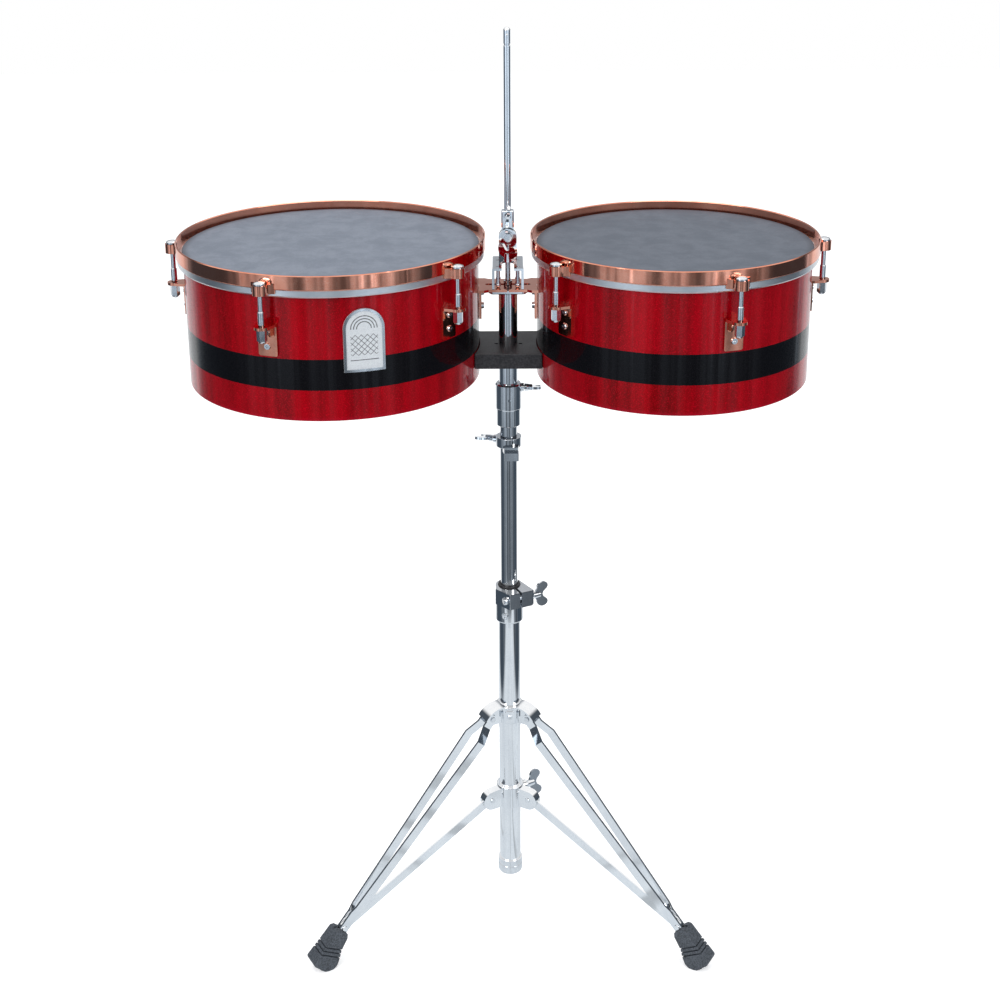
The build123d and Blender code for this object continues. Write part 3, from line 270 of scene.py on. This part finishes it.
def satin_ring():
    """Rolled aluminium hoop: brushed round the ring, slightly oxidised."""
    m, t, p, obj = material("rolled_aluminium")
    cloud = t.noise(obj, 45.0, 4, 0.6)
    lines = t.noise(t.vmath("MULTIPLY", obj, (14.0, 14.0, 3800.0)), 1.0, 3, 0.6)
    base = t.mix(t.span(cloud, 0.3, 0.7), (0.97, 0.98, 0.99), (0.84, 0.87, 0.90))
    base = t.mix(t.math("MULTIPLY", t.span(lines, 0.5, 0.7), 0.25), base, (0.66, 0.69, 0.73))
    t.put(p.inputs["Base Color"], base)
    p.inputs["Metallic"].default_value = 1.0
    t.put(p.inputs["Roughness"], t.math("ADD", 0.27, t.math("MULTIPLY", lines, 0.16)))
    t.put(p.inputs["Normal"], t.bump(lines, 0.22, 0.00012))
    return m


def rubber(name, light, dark, grain=900.0, rough=0.58):
    """Moulded rubber: fine grain, edges painted lighter as highlights, dusty patches."""
    m, t, p, obj = material(name)
    dust = t.noise(obj, 70.0, 5, 0.68)
    fine = t.noise(obj, grain, 3, 0.6)
    base = t.mix(t.span(dust, 0.35, 0.75), dark, light)
    base = t.mix(t.math("MULTIPLY", t.span(fine, 0.5, 0.72), 0.35), base, tuple(c * 1.6 for c in light))
    # painted highlight: the convex edges are lighter in the colour
    base = t.mix(t.math("MULTIPLY", edge_highlight_mask(t, obj, 500.0), 0.5), base, tuple(min(1, c * 2.6 + 0.02) for c in light))
    t.put(p.inputs["Base Color"], base)
    t.put(p.inputs["Roughness"], t.math("ADD", rough, t.math("MULTIPLY", dust, 0.22)))
    p.inputs["Specular IOR Level"].default_value = 0.55
    t.put(p.inputs["Normal"], t.bump(t.math("ADD", fine, t.math("MULTIPLY", dust, 0.8)), 0.45, 0.00018))
    return m


def badge_metal(cx, cy, R):
    """Name plate left without a name: bright raised rim, pale etched field with
    plain engraved arcs and diamonds."""
    m, t, p, obj = material("badge_plate")
    lo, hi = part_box("badge")
    x, y, z = t.xyz(obj)
    dx, dy = t.math("SUBTRACT", x, cx), t.math("SUBTRACT", y, cy)
    rad = t.math("SQRT", t.math("ADD", t.math("MULTIPLY", dx, dx), t.math("MULTIPLY", dy, dy)))
    field = t.math("LESS_THAN", rad, R + 0.00165)
    a0 = atan2((lo[1] + hi[1]) / 2 - cy, (lo[0] + hi[0]) / 2 - cx)
    ang = t.math("SUBTRACT", t.math("ARCTAN2", dy, dx), a0)
    u = t.math("MULTIPLY", ang, R)                      # metres across the plate
    v = t.math("SUBTRACT", z, hi[2] - 0.0255)           # from the centre of the arch
    r0 = t.math("SQRT", t.math("ADD", t.math("MULTIPLY", u, u), t.math("MULTIPLY", v, v)))
    # a fan of plain arcs in the arch
    arcs = t.math("ABSOLUTE", t.math("SUBTRACT", t.math("FRACT", t.math("DIVIDE", r0, 0.0036)), 0.5))
    arcs = t.math("MULTIPLY", t.span(arcs, 0.13, 0.20, 1.0, 0.0), t.math("MULTIPLY", t.span(r0, 0.0072, 0.0078), t.span(r0, 0.0186, 0.0180)))
    arcs = t.math("MULTIPLY", arcs, t.span(v, -0.0005, 0.0005))
    # a lattice of small diamonds below it
    d1 = t.math("FRACT", t.math("DIVIDE", t.math("ADD", u, v), 0.0074))
    d2 = t.math("FRACT", t.math("DIVIDE", t.math("SUBTRACT", u, v), 0.0074))
    q1 = t.span(t.math("ABSOLUTE", t.math("SUBTRACT", d1, 0.5)), 0.05, 0.09, 1.0, 0.0)
    q2 = t.span(t.math("ABSOLUTE", t.math("SUBTRACT", d2, 0.5)), 0.05, 0.09, 1.0, 0.0)
    lat = t.math("MAXIMUM", q1, q2)
    win = t.math("MULTIPLY", t.span(v, -0.0335, -0.0330), t.span(v, -0.0068, -0.0074))
    win = t.math("MULTIPLY", win, t.span(t.math("ABSOLUTE", u), 0.0170, 0.0164))
    ink = t.math("MAXIMUM", arcs, t.math("MULTIPLY", lat, win))
    # two plain rules near the foot
    rule = t.math("MULTIPLY", t.span(t.math("ABSOLUTE", t.math("ADD", v, 0.0392)), 0.0004, 0.0007, 1.0, 0.0), t.span(t.math("ABSOLUTE", u), 0.0175, 0.0170))
    ink = t.math("MAXIMUM", ink, rule)
    uneven = t.span(t.noise(obj, 650.0, 3, 0.6), 0.30, 0.55, 0.55, 1.0)
    ink = t.math("MULTIPLY", t.math("MULTIPLY", ink, field), uneven)
    grain = t.noise(obj, 800.0, 3, 0.6)
    plate = t.mix(t.span(grain, 0.3, 0.7), (0.60, 0.63, 0.66), (0.74, 0.77, 0.79))
    plate = t.mix(t.math("SUBTRACT", 1.0, field), plate, (0.86, 0.88, 0.90))
    base = t.mix(ink, plate, (0.030, 0.034, 0.042))
    t.put(p.inputs["Base Color"], base)
    t.put(p.inputs["Metallic"], t.math("MULTIPLY", t.math("SUBTRACT", 1.0, ink), t.math("SUBTRACT", 1.0, t.math("MULTIPLY", field, 0.62))))
    t.put(p.inputs["Roughness"], t.math("ADD", t.math("MULTIPLY", field, 0.26), t.math("ADD", 0.10, t.math("MULTIPLY", grain, 0.12))))
    t.put(p.inputs["Normal"], t.bump(t.math("SUBTRACT", t.math("MULTIPLY", grain, 0.25), ink), 0.35, 0.00015))
    return m


MAT = {
    "chrome": metal("chrome_plate", (0.90, 0.915, 0.93), (0.82, 0.84, 0.87), 0.045, 0.10, 0.07),
    "steel": metal("plated_steel", (0.84, 0.855, 0.875), (0.70, 0.72, 0.75), 0.12, 0.16, 0.12, 0.00008),
    "dark_steel": metal("dark_steel", (0.050, 0.050, 0.056), (0.025, 0.025, 0.030), 0.30, 0.12, 0.10, 0.00008),
    "copper": copper(),
    "aluminium": satin_ring(),
    "black_plastic": rubber("black_block", (0.012, 0.0115, 0.0140), (0.0065, 0.0062, 0.0080), 1300.0, 0.36),
    "boot_rubber": rubber("boot_rubber", (0.040, 0.048, 0.060), (0.019, 0.024, 0.031), 700.0, 0.50),
    "badge_metal": badge_metal(*DRUM["left"]),
}
LAC = {n: lacquer(f"red_flake_{n}", *DRUM[n]) for n in DRUM}
# painted light and shade on two copies of one film: colour scaled by 1.12 on the left head and 0.72 on the right
FILM = {n: film(f"suede_film_{n}", *DRUM[n], {"left": 1.12, "right": 0.72}[n]) for n in DRUM}

slot_of = {s["node"]: s["material_slot"] for s in frame["record"]["subparts"]}
for node, obj in NODES.items():
    s = slot_of[node]
    if s == "red_lacquer":
        mat = LAC["left" if node.endswith("left") else "right"]
    elif s == "head_film":
        mat = FILM["left" if node.endswith("left") else "right"]
    else:
        mat = MAT[s]
    if not obj.material_slots:
        obj.data.materials.append(mat)
    for ms in obj.material_slots:
        ms.material = mat

# small rounding so that cast and pressed edges catch the light
ROUND = {}
for n in NODES:
    if "wing" in n:
        ROUND[n] = (0.0011, 3)
    elif n.startswith("foot_"):
        ROUND[n] = (0.0016, 3)
    elif n.startswith(("leg_", "brace_")):
        ROUND[n] = (0.0011, 3)
    elif n.startswith(("tuning_nuts", "accessory_block", "accessory_tilter", "tilt_bolt", "height_clamp_body", "upper_leg_collar", "lower_leg_collar", "memory_lock")):
        ROUND[n] = (0.0006, 2)
    elif n.startswith(("lug_brackets", "mount_bracket", "clamp_channel", "clamp_base_plate", "badge", "counter_hoop")):
        ROUND[n] = (0.0004, 2)
for n, (w, seg) in ROUND.items():
    if n not in NODES:
        continue
    b = NODES[n].modifiers.new("round", "BEVEL")
    b.width = w
    b.segments = seg
    b.limit_method = "ANGLE"
    b.angle_limit = radians(38)
    b.use_clamp_overlap = True
    b.harden_normals = False
    b.miter_outer = "MITER_ARC"

# ------------------------------------------------------------------ stage
def plane(name, sx, sy, loc, rot=(0, 0, 0)):
    me = bpy.data.meshes.new(name)
    me.from_pydata([(-sx / 2, -sy / 2, 0), (sx / 2, -sy / 2, 0), (sx / 2, sy / 2, 0), (-sx / 2, sy / 2, 0)], [], [(0, 1, 2, 3)])
    o = bpy.data.objects.new(name, me)
    bpy.context.scene.collection.objects.link(o)
    o.location = loc
    o.rotation_euler = rot
    return o


def stage_mat(name, col, rough=0.9, glow=0.0):
    m, t, p, obj = material(name)
    n = t.noise(obj, 3.0, 3)
    t.put(p.inputs["Base Color"], t.mix(n, tuple(c * 0.985 for c in col), col))
    p.inputs["Roughness"].default_value = rough
    if glow:
        t.put(p.inputs["Emission Color"], (*col, 1))
        p.inputs["Emission Strength"].default_value = glow
    return m


floor = plane("floor", 16, 16, (AX, AY, -0.0006))
floor.data.materials.append(stage_mat("floor_white", (0.92, 0.92, 0.925), 0.9, 0.42))
floor.visible_glossy = False

# bright paper close round the stand, which only the plated parts reflect; it is
# brightest in the middle and fades towards its edges
paper = plane("paper", 2.2, 2.4, (AX, AY, -0.0012))
pm, pt, pp, pobj = material("paper_white")
px_, py_, pz_ = pt.xyz(pobj)
pin = pt.math("MULTIPLY", pt.span(pt.math("ABSOLUTE", px_), 0.50, 0.66, 1.0, 0.0),
              pt.math("MULTIPLY", pt.span(py_, -0.98, -0.86), pt.span(py_, 0.78, 0.95, 1.0, 0.0)))
soft_ = pt.span(pt.noise(pobj, 3.4, 3, 0.6), 0.30, 0.70, 0.88, 1.0)
crease = pt.span(pt.noise(pt.vmath("MULTIPLY", pobj, (13.0, 1.6, 1.0)), 1.0, 2, 0.5), 0.58, 0.72, 1.0, 0.66)
glow = pt.math("MULTIPLY", soft_, crease)
pp.inputs["Base Color"].default_value = (0.0, 0.0, 0.0, 1.0)
pp.inputs["Specular IOR Level"].default_value = 0.0
pp.inputs["Roughness"].default_value = 1.0
pt.put(pp.inputs["Emission Color"], pt.mix(glow, (0.0, 0.0, 0.0), (0.74, 0.80, 0.855)))
pp.inputs["Emission Strength"].default_value = 1.0
pt.put(pp.inputs["Alpha"], pin)
paper.data.materials.append(pm)
paper.visible_camera = False
paper.visible_diffuse = False
paper.visible_shadow = False

world = bpy.data.worlds.new("studio")
bpy.context.scene.world = world
world.use_nodes = True
world.node_tree.nodes.clear()
w = Tree(world.node_tree)
wout = w.add("ShaderNodeOutputWorld")
bg = w.add("ShaderNodeBackground")
w.l.new(bg.outputs[0], wout.inputs[0])
lp = w.add("ShaderNodeLightPath")
d = w.add("ShaderNodeTexCoord").outputs["Generated"]
x, y, z = w.xyz(d)
az = w.math("ARCTAN2", x, y)                     # 0 = straight behind the set
absaz = w.math("ABSOLUTE", az)
# behind the set: a bright sweep; to the sides dark; towards the viewer a blue
# grey room that gets darker further down
back = w.span(absaz, 0.80, 0.98, 1.0, 0.0)
side = w.math("MULTIPLY", w.span(absaz, 0.92, 1.12), w.span(absaz, 1.75, 2.20, 1.0, 0.0))
streak = w.noise(w.vec(az, 3.7, 0.0), 4.2, 3, 0.6)
thin = w.noise(w.vec(az, 9.1, 0.0), 15.0, 2, 0.5)
tall = w.ramp(w.math("ADD", z, 0.60), ((0.0, 0.095), (0.12, 0.105), (0.22, 0.135), (0.32, 0.34), (0.43, 0.50), (0.60, 0.62)))
room = w.math("MULTIPLY", tall, w.span(streak, 0.38, 0.62, 0.30, 1.70))
room = w.math("ADD", room, w.math("MULTIPLY", w.math("MULTIPLY", tall, w.span(thin, 0.56, 0.66)), w.span(z, -0.36, -0.26, 0.35, 2.0)))
low = w.mix(side, w.vec(room, w.math("MULTIPLY", room, 1.16), w.math("MULTIPLY", room, 1.34)), (0.052, 0.070, 0.092))
low = w.mix(back, low, (0.90, 0.92, 0.94))
# above the horizon the walls get lighter and the ceiling is a big soft box
wall = w.span(z, -0.02, 0.16)
high = w.mix(back, (0.065, 0.080, 0.098), (0.36, 0.38, 0.41))
up = w.mix(wall, low, high)
up = w.mix(w.span(z, 0.40, 0.58), up, (1.0, 1.0, 1.0))
soft = w.mix(w.span(z, -0.2, 0.8), (0.62, 0.62, 0.63), (0.86, 0.86, 0.86))
col = w.mix(lp.outputs["Is Glossy Ray"], soft, up)
col = w.mix(lp.outputs["Is Camera Ray"], col, (1.0, 1.0, 1.0))
w.put(bg.inputs[0], col)
bg.inputs[1].default_value = 1.0


def area(name, loc, target, size, energy, size_y=None, col=(1, 1, 1), glossy=True):
    l = bpy.data.lights.new(name, "AREA")
    l.energy = energy
    l.size = size
    l.color = col
    if size_y:
        l.shape = "RECTANGLE"
        l.size_y = size_y
    o = bpy.data.objects.new(name, l)
    bpy.context.scene.collection.objects.link(o)
    o.location = loc
    o.rotation_euler = (Vector(target) - Vector(loc)).to_track_quat("-Z", "Y").to_euler()
    o.visible_glossy = glossy
    return o


area("key", (-1.7, -2.2, 2.6), (0, 0, 0.8), 1.4, 30, 1.0)
area("fill", (2.0, -1.6, 1.9), (0, 0, 0.8), 1.2, 13, 1.4)
area("top", (0.0, 0.1, 3.2), (0, 0, 0.9), 2.2, 17, 1.6)

# ------------------------------------------------------------------ camera
cam_data = bpy.data.cameras.new("camera")
cam = bpy.data.objects.new("camera", cam_data)
bpy.context.scene.collection.objects.link(cam)
bpy.context.scene.camera = cam
cam_data.sensor_width = 36.0
cam_data.lens = 1653.24 / 1000 * 36.0
cam_data.shift_x = 0.0
cam_data.shift_y = -0.15
cam_data.dof.use_dof = False
cam_data.clip_end = 50
pitch, yaw, roll = radians(18.2391), radians(-0.2323), radians(-0.3438)
fwd = Vector((sin(yaw) * cos(pitch), cos(yaw) * cos(pitch), -sin(pitch)))
right = Vector((cos(yaw), -sin(yaw), 0))
upv = right.cross(fwd)
rr = right * cos(roll) + upv * sin(roll)
uu = -right * sin(roll) + upv * cos(roll)
rot = Matrix((rr, uu, -fwd)).transposed()
cam.matrix_world = Matrix.Translation((AX - 0.00242, AY - 2.07877, 1.54227)) @ rot.to_4x4()

vs = bpy.context.scene.view_settings
vs.view_transform = "Standard"
vs.look = "None"
vs.exposure = 0.0
vs.gamma = 1.0
